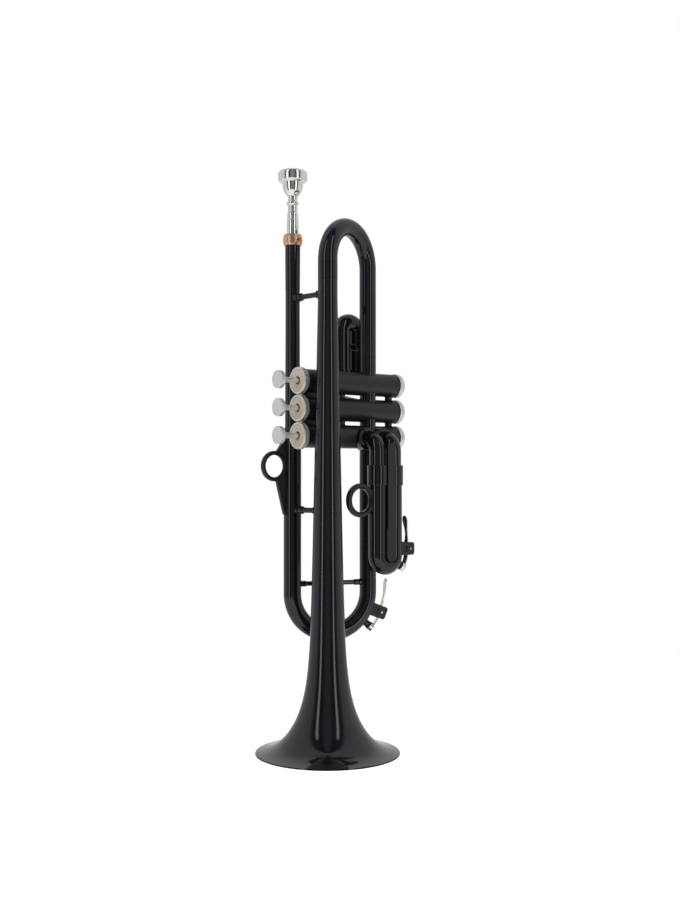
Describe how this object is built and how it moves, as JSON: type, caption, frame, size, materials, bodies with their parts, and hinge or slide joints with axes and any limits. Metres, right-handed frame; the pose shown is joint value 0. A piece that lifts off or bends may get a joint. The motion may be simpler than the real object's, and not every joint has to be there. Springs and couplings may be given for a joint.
{
  "type": "plastic trumpet",
  "caption": "Black plastic trumpet standing on its flared bell, with horizontal piston valves, tuning slides, finger rings, water keys and a silver mouthpiece.",
  "frame": {"origin": "centre of the bounding box at the plane of the bell rim", "axes": "+Z from the bell up to the mouthpiece, -X towards the finger buttons, +Y towards the leadpipe"},
  "size_m": [0.1662, 0.1443, 0.5203],
  "materials": {
    "gloss_black": "high gloss",
    "satin_black": "satin",
    "silver_plate": "polished silver plate",
    "satin_nickel": "satin",
    "copper_collar": "satin rose gold",
    "spring_steel": "drawn wire",
    "slide_alloy": "satin",
    "cream_felt": "felt",
    "key_cork": "matte",
    "white_nylon": "moulded"
  },
  "bodies": {
    "horn": {"bell": "gloss_black", "bell_ferrule": "gloss_black", "bell_bow": "gloss_black", "return_knuckle": "gloss_black", "leadpipe": "gloss_black", "mouthpiece_receiver": "gloss_black", "upper_brace": "gloss_black", "middle_brace": "gloss_black", "lower_tube": "gloss_black", "knuckle_1_2": "gloss_black", "knuckle_2_3": "gloss_black", "first_slide_neck": "gloss_black", "second_slide_neck": "gloss_black", "third_slide_neck": "gloss_black", "finger_rest_ring": "satin_black", "valve_casing_1": "satin_black", "valve_casing_2": "satin_black", "valve_casing_3": "satin_black", "top_cap_1": "satin_nickel", "bottom_cap_1": "satin_nickel", "cap_felt_1": "cream_felt", "valve_spring_1": "spring_steel", "valve_guide_1": "white_nylon", "top_cap_2": "satin_nickel", "bottom_cap_2": "satin_nickel", "cap_felt_2": "cream_felt", "valve_spring_2": "spring_steel", "valve_guide_2": "white_nylon", "top_cap_3": "satin_nickel", "bottom_cap_3": "satin_nickel", "cap_felt_3": "cream_felt", "valve_spring_3": "spring_steel", "valve_guide_3": "white_nylon", "receiver_collar": "copper_collar", "third_slide_inner_tube_1": "slide_alloy", "third_slide_inner_tube_2": "slide_alloy"},
    "mouthpiece_body": {"mouthpiece": "silver_plate"},
    "first_slide": {"first_slide_crook": "gloss_black"},
    "second_slide": {"second_slide_crook": "gloss_black"},
    "third_slide": {"third_slide_crook": "gloss_black", "third_key_saddle": "satin_black", "third_key_pin": "spring_steel", "third_key_spring": "spring_steel"},
    "third_key": {"third_key_lever": "silver_plate", "third_key_cork": "key_cork"},
    "tuning_slide": {"tuning_slide_crook": "gloss_black", "tuning_slide_inner_tube_1": "slide_alloy", "tuning_slide_inner_tube_2": "slide_alloy", "tuning_slide_brace": "gloss_black", "main_key_saddle": "satin_black", "main_key_pin": "spring_steel", "main_key_spring": "spring_steel"},
    "main_key": {"main_key_lever": "silver_plate", "main_key_cork": "key_cork"},
    "valve_1": {"piston_1": "satin_nickel", "finger_button_1": "satin_nickel"},
    "valve_2": {"piston_2": "satin_nickel", "finger_button_2": "satin_nickel"},
    "valve_3": {"piston_3": "satin_nickel", "finger_button_3": "satin_nickel"}
  },
  "joints": [
    {"name": "mouthpiece_pull", "type": "slide", "parent": "horn", "child": "mouthpiece_body", "axis": [0, 0, 1], "range_m": [0, 0.026]},
    {"name": "valve_1_press", "type": "slide", "parent": "horn", "child": "valve_1", "axis": [1, 0, 0], "range_m": [0, 0.0165], "stiffness_N_per_m": 110, "springref_m": -0.012, "deforming": ["valve_spring_1"]},
    {"name": "valve_2_press", "type": "slide", "parent": "horn", "child": "valve_2", "axis": [1, 0, 0], "range_m": [0, 0.0165], "stiffness_N_per_m": 110, "springref_m": -0.012, "deforming": ["valve_spring_2"]},
    {"name": "valve_3_press", "type": "slide", "parent": "horn", "child": "valve_3", "axis": [1, 0, 0], "range_m": [0, 0.0165], "stiffness_N_per_m": 110, "springref_m": -0.012, "deforming": ["valve_spring_3"]},
    {"name": "tuning_slide_pull", "type": "slide", "parent": "horn", "child": "tuning_slide", "axis": [0, 0, -1], "range_m": [0, 0.03]},
    {"name": "first_slide_pull", "type": "slide", "parent": "horn", "child": "first_slide", "axis": [0, 0, 1], "range_m": [0, 0.015]},
    {"name": "second_slide_pull", "type": "slide", "parent": "horn", "child": "second_slide", "axis": [0, 0.9816, 0.1908], "range_m": [0, 0.01]},
    {"name": "third_slide_throw", "type": "slide", "parent": "horn", "child": "third_slide", "axis": [0, 0, -1], "range_m": [0, 0.02]},
    {"name": "third_key_press", "type": "hinge", "parent": "third_slide", "child": "third_key", "pos_m": [0.0674, -0.01411, 0.17574], "axis": [0, -1, 0], "range_deg": [0, 8], "stiffness_Nm_per_rad": 0.05, "springref_deg": -20.05},
    {"name": "main_key_press", "type": "hinge", "parent": "tuning_slide", "child": "main_key", "pos_m": [0.0553, 0.00987, 0.11606], "axis": [-0.3068, -0.9518, 0], "range_deg": [0, 8], "stiffness_Nm_per_rad": 0.05, "springref_deg": -20.05}
  ]
}
